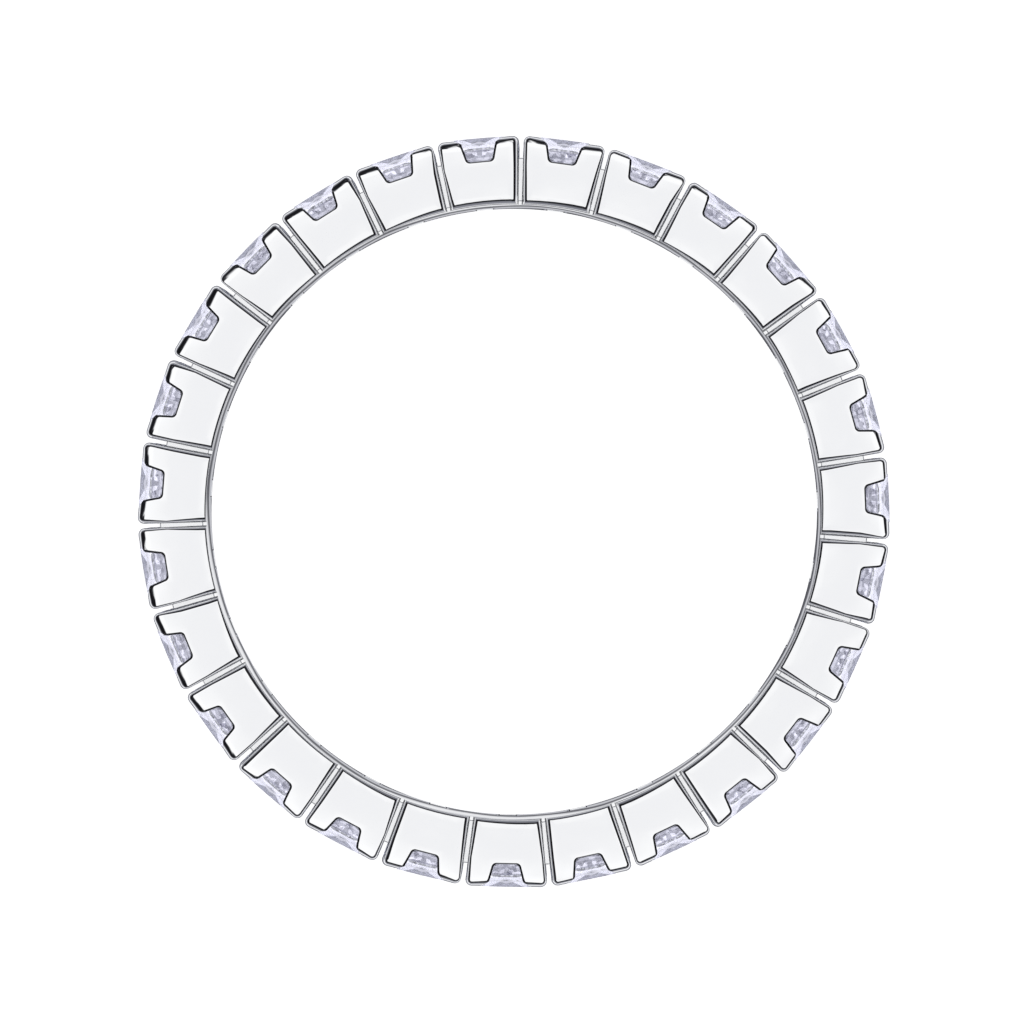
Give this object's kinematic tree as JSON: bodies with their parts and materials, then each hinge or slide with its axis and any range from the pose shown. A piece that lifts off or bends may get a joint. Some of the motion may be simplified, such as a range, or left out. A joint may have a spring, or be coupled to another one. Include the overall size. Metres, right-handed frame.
{
  "type": "eternity ring",
  "caption": "Eternity ring: a polished white metal band of notched box settings all round, each holding a square-cut clear stone.",
  "frame": {"origin": "middle of the finger hole, in the plane of the box faces that the ring lies on", "axes": "+Z along the finger's axis, up from the face that the ring lies on; +Y towards the top of the picture, +X to its right"},
  "size_m": [0.0212, 0.0212, 0.0024],
  "materials": {
    "metal": "mirror-polished white metal",
    "stone": "clear faceted stone"
  },
  "bodies": {
    "root": {"band": "metal", "stone_01": "stone", "stone_02": "stone", "stone_03": "stone", "stone_04": "stone", "stone_05": "stone", "stone_06": "stone", "stone_07": "stone", "stone_08": "stone", "stone_09": "stone", "stone_10": "stone", "stone_11": "stone", "stone_12": "stone", "stone_13": "stone", "stone_14": "stone", "stone_15": "stone", "stone_16": "stone", "stone_17": "stone", "stone_18": "stone", "stone_19": "stone", "stone_20": "stone", "stone_21": "stone", "stone_22": "stone", "stone_23": "stone", "stone_24": "stone", "stone_25": "stone", "stone_26": "stone", "stone_27": "stone"}
  },
  "joints": []
}
